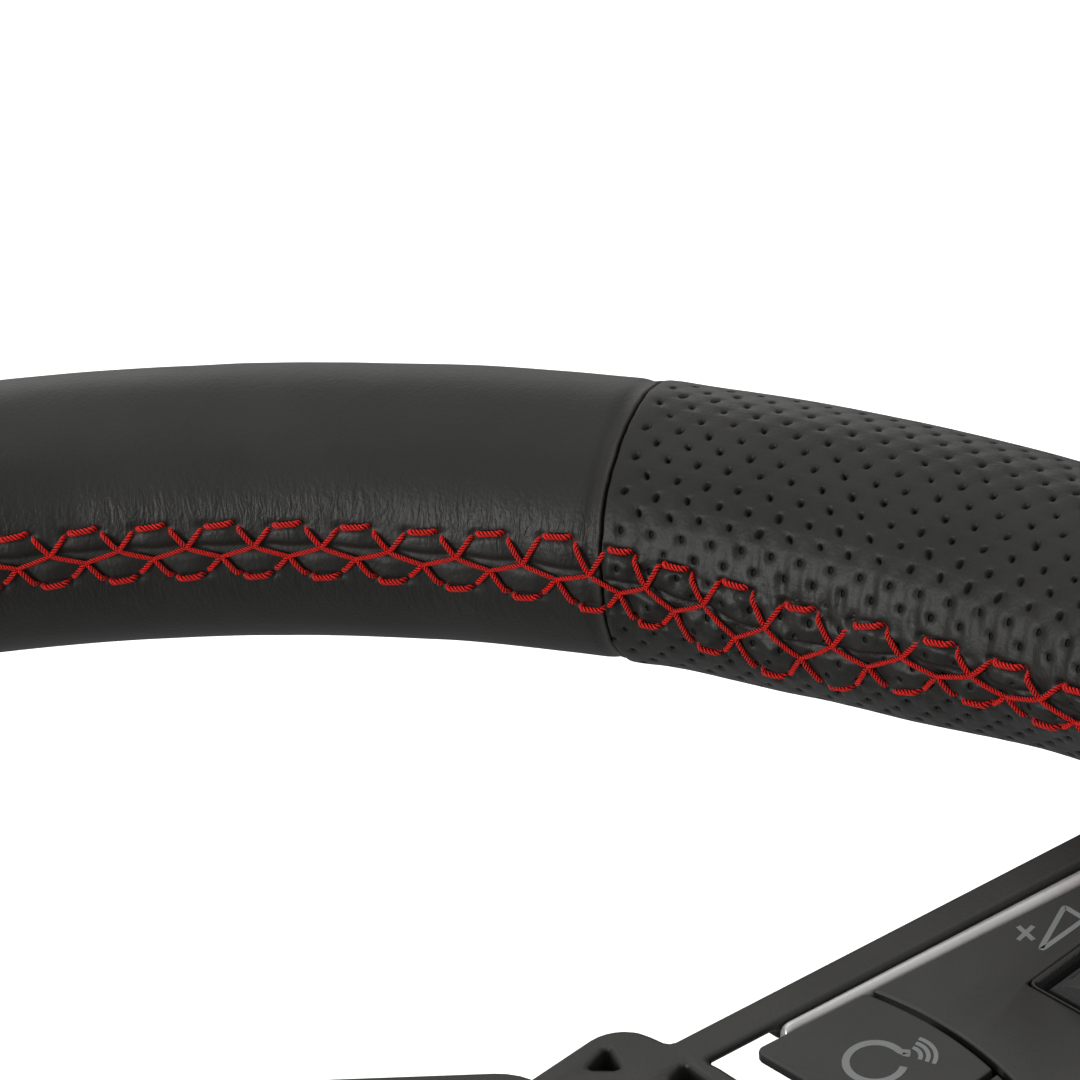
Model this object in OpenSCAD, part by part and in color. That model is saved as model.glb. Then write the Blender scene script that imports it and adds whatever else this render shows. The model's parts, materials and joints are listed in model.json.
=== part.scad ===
// Quick release steering wheel: a leather-wrapped rim with side switch panels on a
// quick release hub. +Z points towards the driver, +Y to 12 o'clock, and the origin is
// the centre of the column face.

/* [Rim] */
// Radius of the rim's centre line
rim_radius = 170; // [165:1:175]
// Radius of the wrapped rim's round section
grip_radius = 16; // [15:0.5:16.5]
// Thickness of the leather
leather_t = 1.4; // [1:0.1:2]
// Radius of the steel ring inside the rim
core_radius = 5; // [4:0.5:6]
// Angle between the horizontal and each seam of a side grip
seam_angle = 25.7; // [20:0.1:30]
// Half angle of the stitched band, seen in the rim's section
stitch_angle = 12; // [8:1:14]
// Height of the rim's middle plane over the column face
rim_height = 108; // [108:1:110]

/* [Quick release] */
// Radius of the two hub flanges
flange_radius = 43; // [42:0.5:46]
// Thickness of the two hub flanges
flange_t = 8; // [6:1:8]
// Diameter of the bolt circles
bolt_circle = 70; // [68:1:72]
// Number of bolts on a circle
bolt_count = 6; // [6:1:6]
// Diameter of the clearance holes for the bolts
bolt_hole = 5.5; // [5.2:0.1:6]
// Radius of the splined spigot
spigot_radius = 20; // [19:0.5:20]
// Radius of the pilot bore in the column face
bore_radius = 12; // [10:0.5:13]
// Number of spline slots
spline_count = 8; // [6:1:10]
// Travel of the release collar
collar_travel = 7; // [6:0.5:7]

/* [Switches] */
// Height of the panels' front face
panel_top = 98; // [98:0.5:99]
// Thickness of the panel deck and of the keys
deck_t = 1.2; // [1.2:0.1:1.6]
// Gap between a key and the deck beside it
key_gap = 0.7; // [0.5:0.1:0.9]
// Radius of the thumb rollers
roller_radius = 7; // [6.5:0.1:7]

/* [Horn] */
// Radius of the horn button
horn_radius = 36.6; // [34:0.2:36.6]

/* [Hidden] */
$fn = 72;

eps = 0.01;
running_gap = 0.05;             // radial clearance of pieces that slide or turn

// Quick release, from the column face up
spigot_top = 36;
sleeve_bottom = 10;
sleeve_radius = 29;
sleeve_top = 38;
spline_depth = 1.5;
spline_w = 5;
lock_z = 24;
lock_wire = 1.2;
collar_radius = 39;
collar_bottom = 14;
collar_top = 28;
circlip_t = 1.5;
circlip_reach = 2;
spring_mean = 34;
spring_floor = 20;
block_t = 5.5;
block_radius = 11;
bore_depth = 27;
cable_radius = 4;
boss_bottom = sleeve_top + flange_t;
boss_t = 8;
boss_radius = 46;
boss_top = boss_bottom + boss_t;

// Spider arms: side view of one arm, radius outwards and height upwards
arm_profile = [[38, boss_bottom], [38, boss_top], [49, boss_top], [97, 81], [142, 84.6],
    [150, 84.6], [166.5, rim_height - 2], [171, rim_height - 4], [152, 79], [100, 74],
    [53, boss_bottom]];
side_arm_w = 16;
side_arm_y = -6;
lower_arm_w = 10;
lower_arm_x = 16;

// Front moulding
frame_top = 97;
frame_deck_t = 2.5;
frame_bottom = 84;
bar_top = panel_top + 0.4;
bar_depth = 2.8;
bar_lip = 1.3;                  // thickness of the bar where it bridges the lobe and the panel
post_x = [-94.5, 94.5];         // the two posts stand on the side arms, under the lobes
wall = 2.4;
rim_clear_radius = 156.9;       // widest reach of the spoke parts under the rim
lobe_x = 100;                   // outer end of the hub's side lobes

// Edges of the right spoke as straight lines [y at x = 100, slope]
bar_upper = [15.8, -0.148];
bar_lower = [11.9, -0.148];
panel_upper = [10.45, -0.1655];
panel_lower = [-21.7, -0.08];
sill_upper = [-23.4, -0.08];
sill_lower = [-27.2, -0.08];
panel_inner_x = 104;
panel_outer_x = 150;
trim_inner_x = 108.3;
key_arc_x = 81.1;               // centre and radius of the curved key edge
key_arc_r = 37;
key_split_y = -8.6;

// Panel insides
case_bottom = 85;
board_z = 87;
board_t = 1.6;
mat_t = 2.4;
key_travel = 1;
roller_x = [128.9, 141.5];
roller_y = -10;
roller_z = panel_top + 2.2 - roller_radius;
axle_radius = 1.2;

horn_cup_radius = 40.8;
horn_cup_bottom = 76;

function at(line, x) = line[0] + line[1] * (x - 100);

// ---------------------------------------------------------------- shared shapes

module tube(outer, inner, z0, z1) {
    translate([0, 0, z0]) difference() {
        cylinder(r = outer, h = z1 - z0);
        translate([0, 0, -eps]) cylinder(r = inner, h = z1 - z0 + 2 * eps);
    }
}

module slab(z0, z1) {
    translate([0, 0, z0]) linear_extrude(z1 - z0) children();
}

// A ring of the rim's round section between two radii, over part of the turn
module rim_layer(inner, outer, from = 0, span = 360) {
    translate([0, 0, rim_height])
        rotate_extrude(angle = span, start = from)
            translate([rim_radius, 0]) difference() {
                circle(outer);
                circle(inner);
            }
}

module arm(width, offset_y) {
    translate([0, offset_y + width / 2, 0]) rotate([90, 0, 0])
        linear_extrude(width) polygon(arm_profile);
}

module side_arms() {
    arm(side_arm_w, side_arm_y);
    mirror([1, 0, 0]) arm(side_arm_w, side_arm_y);
}

module lower_arms() {
    for (x = [-lower_arm_x, lower_arm_x]) rotate([0, 0, -90]) arm(lower_arm_w, x);
}

module bolt_places() {
    for (i = [0:bolt_count - 1])
        rotate([0, 0, 360 / bolt_count * (i + 0.5)])
            translate([bolt_circle / 2, 0, 0]) children();
}

module spline_bars(width, inner, outer, z0, z1) {
    for (i = [0:spline_count - 1])
        rotate([0, 0, 360 / spline_count * i])
            translate([inner, -width / 2, z0]) cube([outer - inner, width, z1 - z0]);
}

function coil_point(mean, z0, pitch, a) =
    [mean * cos(a), mean * sin(a), z0 + pitch * a / 360];

// A coil spring swept as one closed polyhedron: a ring of wire points every few degrees
module coil(mean, wire, z0, z1, turns) {
    step = 15;
    sides = 8;
    rings = turns * 360 / step;
    pitch = (z1 - z0 - 2 * wire) / turns;
    points = [for (i = [0:rings]) let (a = i * step, c = coil_point(mean, z0 + wire, pitch, a))
        for (s = [0:sides - 1]) let (b = 360 / sides * s)
            c + wire * [cos(b) * cos(a), cos(b) * sin(a), sin(b)]];
    walls = [for (i = [0:rings - 1]) for (s = [0:sides - 1]) let (t = (s + 1) % sides)
        [i * sides + s, (i + 1) * sides + s, (i + 1) * sides + t, i * sides + t]];
    start_cap = [for (s = [0:sides - 1]) s];
    end_cap = [for (s = [sides - 1:-1:0]) rings * sides + s];
    polyhedron(points, concat(walls, [start_cap, end_cap]), convexity = 6);
}

// ---------------------------------------------------------------- column side

module base_hub() {
    color("silver") difference() {
        union() {
            cylinder(r = flange_radius, h = flange_t);
            translate([0, 0, flange_t]) cylinder(r = spigot_radius, h = spigot_top - flange_t - 1);
            translate([0, 0, spigot_top - 1])
                cylinder(r1 = spigot_radius, r2 = spigot_radius - 1, h = 1);
        }
        translate([0, 0, -eps]) cylinder(r = bore_radius, h = bore_depth + eps);
        cylinder(r = cable_radius, h = spigot_top);
        translate([0, 0, spigot_top - block_t]) cylinder(r = block_radius, h = block_t + 1);
        translate([0, 0, -eps]) bolt_places() cylinder(d = bolt_hole, h = flange_t + 1);
        spline_bars(spline_w, spigot_radius - spline_depth, spigot_radius + 2,
            flange_t + 1, spigot_top + 1);
        translate([0, 0, lock_z]) rotate_extrude()
            translate([spigot_radius + 0.4, 0]) circle(lock_wire + 0.1);
    }
}

module base_contact_block() {
    color("dimgray") translate([0, 0, spigot_top - block_t])
        cylinder(r = block_radius, h = block_t - 0.5);
}

module contact_pads() {
    color("gold") for (i = [0:3]) rotate([0, 0, 90 * i])
        translate([7, 0, spigot_top - 0.5]) cylinder(r = 2, h = 0.5);
}

// ---------------------------------------------------------------- wheel side of the release

module release_hub() {
    bore = spigot_radius + running_gap;
    color("dimgray") difference() {
        union() {
            tube(sleeve_radius - running_gap, bore, sleeve_bottom, sleeve_top);
            tube(flange_radius, block_radius, sleeve_top, boss_bottom);
            spline_bars(spline_w - 2 * running_gap, spigot_radius - spline_depth + running_gap,
                spigot_radius + 2, sleeve_bottom + 1, sleeve_top + 1);
        }
        bolt_places() translate([0, 0, sleeve_top - eps]) cylinder(r = 2.5, h = flange_t + 1);
        // groove that the lock ring springs out into
        tube(spigot_radius + 4.2, spigot_radius - 2, lock_z - 1.5, lock_z + 1.5);
        // windows for the lock ring's three lugs
        for (i = [0:2]) rotate([0, 0, 120 * i + 60])
            translate([spigot_radius + 2, -5.2, lock_z - 1.1]) cube([12, 10.4, 2.2]);
        tube(sleeve_radius + 1, sleeve_radius - 1.2, collar_bottom - circlip_t, collar_bottom);
    }
}

module retaining_ring() {
    color("gray") difference() {
        tube(sleeve_radius + circlip_reach, sleeve_radius - 1.2, collar_bottom - circlip_t,
            collar_bottom);
        translate([20, -3, 0]) cube([20, 6, 20]);
    }
}

module lock_ring() {
    color("gray") union() {
        translate([0, 0, lock_z]) rotate_extrude(angle = 344, start = 8)
            translate([spigot_radius + 0.4, 0]) circle(lock_wire);
        for (i = [0:2]) rotate([0, 0, 120 * i + 60])
            translate([spigot_radius + 0.8, -5, lock_z - 1])
                cube([sleeve_radius - spigot_radius - 1.7, 10, 2]);
    }
}

module release_collar() {
    flutes = 24;
    color("firebrick") difference() {
        tube(collar_radius, sleeve_radius, collar_bottom, collar_top);
        tube(sleeve_radius + 2.5, sleeve_radius - 2, collar_bottom + 1.5, collar_bottom + 6.5);
        tube(spring_mean + 2, spring_mean - 2, spring_floor, collar_top + 1);
        for (i = [0:flutes - 1]) rotate([0, 0, 360 / flutes * i])
            translate([collar_radius + 1, 0, collar_bottom + 2]) cylinder(r = 2.4, h = 9, $fn = 24);
    }
}

module collar_spring() {
    color("lightgray") coil(spring_mean, 0.8, spring_floor, sleeve_top, 4);
}

module pin_block() {
    color("dimgray") translate([0, 0, sleeve_top]) cylinder(r = block_radius, h = flange_t);
}

module contact_pins() {
    color("gold") for (i = [0:3]) rotate([0, 0, 90 * i])
        translate([7, 0, spigot_top]) cylinder(r = 1, h = sleeve_top - spigot_top);
}

module hub_screws() {
    head_r = 4.2;
    head_h = 5;
    color("black") bolt_places() difference() {
        union() {
            translate([0, 0, sleeve_top]) cylinder(r = 2.5, h = boss_top - sleeve_top);
            translate([0, 0, boss_top]) cylinder(r = head_r, h = head_h);
        }
        translate([0, 0, boss_top + 2]) cylinder(r = 2.3, h = head_h, $fn = 6);
    }
}

// ---------------------------------------------------------------- armature and rim

module spider() {
    color("silver") difference() {
        union() {
            translate([0, 0, boss_bottom]) cylinder(r = boss_radius, h = boss_t);
            side_arms();
            lower_arms();
        }
        translate([0, 0, boss_bottom - eps]) cylinder(r = 22, h = boss_t + 1);
        bolt_places() translate([0, 0, boss_bottom - eps]) cylinder(d = bolt_hole, h = boss_t + 1);
        rim_layer(0, core_radius);
    }
}

module rim_core() {
    color("gray") rim_layer(core_radius - 2, core_radius);
}

module rim_foam() {
    color("dimgray") difference() {
        rim_layer(core_radius, grip_radius - leather_t);
        side_arms();
        lower_arms();
    }
}

module leather(from, span) {
    color([0.16, 0.16, 0.16]) rim_layer(grip_radius - leather_t, grip_radius, from, span);
}

module leather_top() {
    leather(seam_angle, 180 - 2 * seam_angle);
}

module leather_bottom() {
    color([0.16, 0.16, 0.16]) difference() {
        leather(180 + seam_angle, 180 - 2 * seam_angle);
        lower_arms();
    }
}

module leather_grip_right() {
    color([0.13, 0.13, 0.13]) difference() {
        leather(-seam_angle, 2 * seam_angle);
        side_arms();
    }
}

module leather_grip_left() {
    color([0.13, 0.13, 0.13]) difference() {
        leather(180 - seam_angle, 2 * seam_angle);
        side_arms();
    }
}

module rim_stitching() {
    band = grip_radius + 0.35;
    color("red") translate([0, 0, rim_height]) rotate_extrude()
        translate([rim_radius, 0]) intersection() {
            difference() {
                circle(band);
                circle(grip_radius);
            }
            polygon([[0, 0], band * [-2 * cos(stitch_angle), -2 * sin(stitch_angle)],
                band * [-2 * cos(stitch_angle), 2 * sin(stitch_angle)]]);
        }
}

// ---------------------------------------------------------------- hub mouldings

// Outline of the hub: flat-topped, with one lobe to each side that carries a spoke
module hub_outline(grow = 0) {
    offset(r = 7 + grow, $fn = 32) polygon([[-52, 50.6], [52, 50.6], [81.4, 21.6], [82, -8],
        [66, -42], [34, -62], [-34, -62], [-66, -42], [-82, -8], [-81.4, 21.6]]);
}

module lobe_outline() {
    offset(r = 4.5, $fn = 32) polygon([[84, 17.5], [94.3, 17.5], [95.5, 10], [95.5, -18],
        [94, -23], [78, -24], [70, -8]]);
}

module lobes() {
    lobe_outline();
    mirror([1, 0]) lobe_outline();
}

// Triangular pockets between the ribs of one lobe, from the top end down
module lobe_pockets() {
    polygon([[91.4, 19.2], [95, 20.1], [93.6, 16.7]]);
    polygon([[86, 17.5], [89.4, 18.2], [92.6, 14.6], [92.4, 9], [86, 9]]);
    polygon([[95.8, 12.6], [98.2, 13.1], [98, 9], [94.2, 9]]);
    polygon([[86, 7.4], [98, 7.4], [92, 1.2]]);
    polygon([[98, 5.2], [98, -6], [93.6, 0.4]]);
    polygon([[86, -20], [98, -20], [92, -12.6]]);
    polygon([[98, -8.6], [98, -18], [93.2, -12]]);
}

module spoke_bars() {
    intersection() {
        difference() {
            polygon([[lobe_x - 4, at(bar_upper, lobe_x - 4)], [165, at(bar_upper, 165)],
                [165, at(sill_lower, 165)], [lobe_x - 4, at(sill_lower, lobe_x - 4)]]);
            polygon([[lobe_x - 5, at(bar_lower, lobe_x - 5)],
                [panel_outer_x + 0.5, at(bar_lower, panel_outer_x)],
                [panel_outer_x + 0.5, at(sill_upper, panel_outer_x)],
                [lobe_x - 5, at(sill_upper, lobe_x - 5)]]);
        }
        circle(rim_clear_radius);
    }
}

module front_frame() {
    color([0.2, 0.2, 0.19]) difference() {
        union() {
            slab(frame_bottom, frame_top) hub_outline();
            slab(frame_bottom, bar_top) lobes();
            slab(bar_top - bar_depth, bar_top) spoke_bars();
            mirror([1, 0, 0]) slab(bar_top - bar_depth, bar_top) spoke_bars();
        }
        // hollow underside
        slab(frame_bottom - 1, frame_top - frame_deck_t) intersection() {
            hub_outline(-wall);
            translate([-78, -100]) square([156, 200]);
        }
        // opening for the horn
        translate([0, 0, frame_bottom - 1]) cylinder(r = horn_cup_radius, h = 20);
        // undercut of the bars between the lobes and the panels
        for (side = [0, 1]) mirror([side, 0, 0]) slab(frame_bottom, bar_top - bar_lip)
            polygon([[lobe_x, at(bar_lower, lobe_x)], [trim_inner_x, at(bar_lower, trim_inner_x)],
                [trim_inner_x, at(bar_lower, trim_inner_x) + 2.4],
                [lobe_x, at(bar_lower, lobe_x) + 2.4]]);
        // rib pockets
        for (side = [0, 1]) mirror([side, 0, 0]) slab(frame_bottom + 3, bar_top + 1) lobe_pockets();
        // screw holes into the posts
        for (x = post_x) translate([x, side_arm_y, 0]) {
            cylinder(r = 2.1, h = 200);
            translate([0, 0, frame_bottom + 3]) cylinder(r = 4.3, h = 20);
        }
    }
}

module back_cover() {
    color([0.15, 0.15, 0.15]) difference() {
        hull() {
            slab(boss_bottom, boss_bottom + 1) circle(boss_radius + 3.5);
            slab(frame_bottom - 1, frame_bottom) hub_outline();
        }
        hull() {
            slab(boss_bottom - 1, boss_bottom) circle(boss_radius + 0.5);
            slab(frame_bottom, frame_bottom + 1) hub_outline(-wall);
        }
        side_arms();
        lower_arms();
    }
}

module frame_posts() {
    color("silver") difference() {
        for (x = post_x) translate([x, side_arm_y, 75]) cylinder(r = 4, h = frame_bottom - 75);
        side_arms();
        for (x = post_x) translate([x, side_arm_y, frame_bottom - 3]) cylinder(r = 2, h = 7);
    }
}

module frame_screws() {
    color("black") for (x = post_x) translate([x, side_arm_y, 0]) difference() {
        union() {
            translate([0, 0, frame_bottom - 3]) cylinder(r = 2, h = 6);
            translate([0, 0, frame_bottom + 3]) cylinder(r = 3.8, h = 3.6);
        }
        translate([0, 0, frame_bottom + 4.6]) cylinder(r = 1.8, h = 4, $fn = 6);
    }
}

// ---------------------------------------------------------------- side spokes

module panel_outline() {
    offset(r = 0.8, $fn = 24) offset(delta = -0.8)
        polygon([[panel_inner_x, at(panel_upper, panel_inner_x)],
            [panel_outer_x, at(panel_upper, panel_outer_x)],
            [panel_outer_x, at(panel_lower, panel_outer_x)],
            [panel_inner_x + 1, at(panel_lower, panel_inner_x)]]);
}

module key_side(shrink) {
    translate([key_arc_x, 0]) circle(key_arc_r - shrink, $fn = 180);
}

module spoke_cover() {
    color([0.15, 0.15, 0.15]) difference() {
        slab(68, 84.8) intersection() {
            offset(r = 4, $fn = 32) polygon([[106, 4], [152, -2], [152, -20], [106, -16]]);
            circle(rim_clear_radius - 3);
        }
        slab(70, 85) intersection() {
            offset(r = 2, $fn = 32) polygon([[106, 4], [150, -2], [150, -20], [106, -16]]);
            circle(rim_clear_radius - 5);
        }
        side_arms();
    }
}

module spoke_trim() {
    color("silver") slab(bar_top - bar_depth, bar_top - 0.2) {
        polygon([[trim_inner_x, at(bar_lower, trim_inner_x) - 0.05],
            [panel_outer_x, at(bar_lower, panel_outer_x) - 0.05],
            [panel_outer_x, at(panel_upper, panel_outer_x) + 0.05],
            [trim_inner_x, at(panel_upper, trim_inner_x) + 0.05]]);
        polygon([[trim_inner_x, at(panel_lower, trim_inner_x) - 0.05],
            [panel_outer_x, at(panel_lower, panel_outer_x) - 0.05],
            [panel_outer_x, at(sill_upper, panel_outer_x) + 0.05],
            [trim_inner_x, at(sill_upper, trim_inner_x) + 0.05]]);
    }
}

module roller_well(grow = 0) {
    translate([roller_x[0] - 0.8 - grow, roller_y - 7.4 - grow])
        square([roller_x[1] - roller_x[0] + 1.6 + 2 * grow, 14.8 + 2 * grow]);
}

module panel() {
    deck_z = panel_top - deck_t;
    color([0.24, 0.24, 0.23]) difference() {
        union() {
            slab(deck_z, panel_top) difference() {
                panel_outline();
                key_side(-key_gap / 2);
            }
            // case under the deck
            slab(case_bottom, deck_z) difference() {
                translate([119, -22]) square([28, 24]);
                translate([120.6, -20.4]) square([24.8, 20.8]);
            }
            // tray that carries the keys
            slab(case_bottom, deck_z - key_travel - 0.4) difference() {
                translate([109, -20]) square([10, 22]);
                translate([110.6, -18.4]) square([10, 18.8]);
            }
            // cheeks that hold the roller's axle
            slab(board_z + board_t + 0.4, deck_z) difference() {
                roller_well(1.8);
                roller_well();
            }
        }
        slab(deck_z - 1, panel_top + 1) roller_well();
        // way through the case's inner wall for the board and the mat
        slab(board_z - 0.1, board_z + board_t + mat_t + 0.2)
            translate([112, -18.4]) square([10, 18.8]);
        translate([roller_x[0] - 3, roller_y, roller_z]) rotate([0, 90, 0])
            cylinder(r = axle_radius, h = 20);
    }
}

module switch_board() {
    color("darkgreen") slab(board_z, board_z + board_t) difference() {
        translate([110.6, -18.2]) square([34.6, 18.4]);
        roller_well();
    }
}

module key_mat() {
    color("gray") slab(board_z + board_t, board_z + board_t + mat_t)
        translate([110.8, -18.2]) square([11, 18.4]);
}

// A key cap with the stem that reaches down to the mat
module key(y0, y1, stem_y) {
    color([0.26, 0.26, 0.25]) union() {
        slab(panel_top - deck_t, panel_top) intersection() {
            panel_outline();
            key_side(key_gap / 2);
            translate([panel_inner_x - 1, y0]) square([20, y1 - y0]);
        }
        slab(board_z + board_t + mat_t + key_travel + 0.1, panel_top - deck_t)
            translate([112, stem_y]) square([4.5, 4]);
    }
}

module upper_key() {
    key(key_split_y + key_gap / 2, 12, -5);
}

module lower_key() {
    key(-30, key_split_y - key_gap / 2, -16);
}

module roller() {
    ribs = 20;
    length = roller_x[1] - roller_x[0];
    color("dimgray") translate([roller_x[0], roller_y, roller_z]) rotate([0, 90, 0])
        difference() {
            cylinder(r = roller_radius, h = length);
            translate([0, 0, -1]) cylinder(r = axle_radius + running_gap, h = length + 2);
            for (i = [0:ribs - 1]) rotate([0, 0, 360 / ribs * i])
                translate([roller_radius - 0.5, -0.4, 1.6]) cube([2, 0.8, length - 3.2]);
        }
}

module roller_axle() {
    color("lightgray") translate([roller_x[0] - 2.6, roller_y, roller_z]) rotate([0, 90, 0])
        cylinder(r = axle_radius, h = roller_x[1] - roller_x[0] + 5.2);
}

// ---------------------------------------------------------------- lower spoke

module lower_spoke_outline() {
    intersection() {
        polygon([[-33, -69.2], [33, -69.2], [24, -165], [-24, -165]]);
        circle(rim_clear_radius);
    }
}

module lower_window(grow = 0) {
    offset(r = 3 + grow, $fn = 24) polygon([[-5, -84], [5, -84], [4, -138], [-4, -138]]);
}

module lower_spoke_cover() {
    color([0.2, 0.2, 0.19]) difference() {
        union() {
            slab(frame_top - 4, frame_top) lower_spoke_outline();
            slab(87, frame_top - 4) difference() {
                offset(delta = -1) lower_spoke_outline();
                offset(delta = -3.4) lower_spoke_outline();
            }
        }
        slab(80, frame_top + 1) lower_window(1.6);
        lower_arms();
    }
}

module lower_spoke_trim() {
    color("silver") slab(frame_top - 4, frame_top + 0.3) difference() {
        lower_window(1.6);
        lower_window();
    }
}

// ---------------------------------------------------------------- horn

module horn_cup() {
    color("dimgray") difference() {
        translate([0, 0, horn_cup_bottom])
            cylinder(r = horn_cup_radius, h = frame_top - horn_cup_bottom);
        translate([0, 0, horn_cup_bottom + 2]) cylinder(r = 38.6, h = 30);
    }
}

module horn_ring() {
    color("silver") rotate_extrude() polygon([[37, frame_top], [44, frame_top],
        [43, frame_top + 1.6], [41.5, frame_top + 2.2], [38.4, frame_top + 2.2],
        [37, frame_top + 1.4]]);
}

module horn_button() {
    lip = frame_top - 0.2;
    color([0.12, 0.12, 0.12]) rotate_extrude() polygon([[0, frame_top + 2.6],
        [0, frame_top + 5], [12, frame_top + 4.8], [24, frame_top + 4.1],
        [31, frame_top + 3.3], [horn_radius - 1.4, frame_top + 2.2],
        [horn_radius - 0.2, frame_top + 0.8], [horn_radius, frame_top - 0.2], [38.2, lip],
        [38.2, lip - 1.8], [horn_radius - 2, lip - 1.8], [horn_radius - 2, frame_top + 0.4],
        [16.5, frame_top + 1.6], [16.5, lip - 8], [14.5, lip - 8], [14.5, frame_top + 1.8]]);
}

module horn_spring() {
    color("lightgray") coil(12, 0.7, horn_cup_bottom + 3.6, frame_top + 1.6, 5);
}

module horn_contact() {
    color("gold") tube(34, 5, horn_cup_bottom + 2, horn_cup_bottom + 3.6);
}

// ---------------------------------------------------------------- assembly

base_hub();
base_contact_block();
contact_pads();
release_hub();
retaining_ring();
lock_ring();
release_collar();
collar_spring();
pin_block();
contact_pins();
hub_screws();
spider();
rim_core();
rim_foam();
leather_top();
leather_bottom();
leather_grip_right();
leather_grip_left();
rim_stitching();
back_cover();
front_frame();
frame_posts();
frame_screws();
spoke_cover();  // spoke_cover_right
mirror([1, 0, 0]) spoke_cover();  // spoke_cover_left
spoke_trim();  // spoke_trim_right
mirror([1, 0, 0]) spoke_trim();  // spoke_trim_left
panel();  // panel_right
mirror([1, 0, 0]) panel();  // panel_left
switch_board();  // switch_board_right
mirror([1, 0, 0]) switch_board();  // switch_board_left
key_mat();  // key_mat_right
mirror([1, 0, 0]) key_mat();  // key_mat_left
upper_key();  // upper_key_right
mirror([1, 0, 0]) upper_key();  // upper_key_left
lower_key();  // lower_key_right
mirror([1, 0, 0]) lower_key();  // lower_key_left
roller();  // roller_right
mirror([1, 0, 0]) roller();  // roller_left
roller_axle();  // roller_axle_right
mirror([1, 0, 0]) roller_axle();  // roller_axle_left
lower_spoke_cover();
lower_spoke_trim();
horn_cup();
horn_ring();
horn_button();
horn_spring();
horn_contact();
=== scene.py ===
import json
import math

import bmesh
import bpy
import numpy as np
from mathutils import Matrix, Vector

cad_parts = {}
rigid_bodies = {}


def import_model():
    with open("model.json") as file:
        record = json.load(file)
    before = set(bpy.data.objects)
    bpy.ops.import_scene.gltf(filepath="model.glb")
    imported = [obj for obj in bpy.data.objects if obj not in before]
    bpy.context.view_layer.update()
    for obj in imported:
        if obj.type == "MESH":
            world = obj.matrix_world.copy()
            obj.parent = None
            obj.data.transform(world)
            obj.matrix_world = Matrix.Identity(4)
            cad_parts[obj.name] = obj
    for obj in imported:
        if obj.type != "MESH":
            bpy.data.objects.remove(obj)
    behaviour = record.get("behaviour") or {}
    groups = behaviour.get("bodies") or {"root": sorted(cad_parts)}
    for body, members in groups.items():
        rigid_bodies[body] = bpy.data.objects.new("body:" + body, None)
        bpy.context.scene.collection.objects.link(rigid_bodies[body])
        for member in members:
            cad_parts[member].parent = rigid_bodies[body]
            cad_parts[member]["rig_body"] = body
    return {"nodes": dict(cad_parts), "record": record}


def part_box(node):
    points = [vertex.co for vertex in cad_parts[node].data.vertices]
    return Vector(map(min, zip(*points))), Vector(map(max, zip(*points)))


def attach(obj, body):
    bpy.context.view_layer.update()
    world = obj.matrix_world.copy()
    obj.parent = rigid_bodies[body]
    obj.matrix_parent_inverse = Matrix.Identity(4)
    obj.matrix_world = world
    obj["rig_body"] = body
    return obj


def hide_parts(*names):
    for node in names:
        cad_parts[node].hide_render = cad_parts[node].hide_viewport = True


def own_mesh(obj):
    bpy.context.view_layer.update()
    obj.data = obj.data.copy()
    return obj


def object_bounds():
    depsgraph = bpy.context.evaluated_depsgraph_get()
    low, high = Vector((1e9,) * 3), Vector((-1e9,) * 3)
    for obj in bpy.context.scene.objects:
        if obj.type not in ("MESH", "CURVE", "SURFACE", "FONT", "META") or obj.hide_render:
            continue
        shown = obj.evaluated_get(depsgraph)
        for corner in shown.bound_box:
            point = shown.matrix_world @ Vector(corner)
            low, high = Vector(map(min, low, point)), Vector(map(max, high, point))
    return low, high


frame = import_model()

cad_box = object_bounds()
MM = 0.001
nodes = frame["nodes"]

# ------------------------------------------------------------------ the rim's measures, in mm and degrees
RIM_R, GRIP_R, RIM_Z = 170.0, 16.0, 108.0
LEATHER_T = 1.4
SEAM = 25.7                     # seams lie this far from the horizontal
INNER_R = RIM_R - GRIP_R
DEG_MM = INNER_R * math.pi / 180     # one degree along the inside of the rim
PHI_MM = GRIP_R * math.pi / 180      # one degree round the rim's section
STITCHES = 124                  # cross stitches round the rim
PITCH = 360 / STITCHES
FIRST = 44.97                   # clock angle of one front bar
BAR = 3.3                       # length of a bar stitch
ROW = 7.5                       # degrees of section from one row of holes to the next
ROW0 = 84.9 - ROW / 2           # lower edge of row 0
ROWS = round(360 / ROW)
PLAIN0, PLAIN_ROWS = 9, 9       # rows that the stitched band takes
STRIP = 0.14                    # degrees of plain leather from a grip's edge to its first cell of holes
CELLS = 39.5                    # cells from one edge to the other; a row of holes starts half a cell after the last
CELL = (2 * SEAM - 2 * STRIP) / CELLS
LINING_R = GRIP_R - LEATHER_T - 0.9
INSIDE = 99.0                   # marks a grip's points that belong to its lining


def smoothstep(a, b, x):
    t = np.clip((x - a) / (b - a), 0, 1)
    return t * t * (3 - 2 * t)


def bell(x, width):
    return np.exp(-(x / width) ** 2)


_tables = {}


def noise(x, y, seed):
    """Smooth value noise from -1 to 1 on a fixed random lattice."""
    if seed not in _tables:
        _tables[seed] = np.random.default_rng(seed).uniform(-1, 1, (128, 128))
    table = _tables[seed]
    x, y = np.broadcast_arrays(np.asarray(x, float), np.asarray(y, float))
    xi, yi = np.floor(x).astype(int), np.floor(y).astype(int)
    fx, fy = x - xi, y - yi
    fx, fy = fx * fx * (3 - 2 * fx), fy * fy * (3 - 2 * fy)
    a, b = table[xi % 128, yi % 128], table[(xi + 1) % 128, yi % 128]
    c, d = table[xi % 128, (yi + 1) % 128], table[(xi + 1) % 128, (yi + 1) % 128]
    return (a * (1 - fx) + b * fx) * (1 - fy) + (c * (1 - fx) + d * fx) * fy


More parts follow.
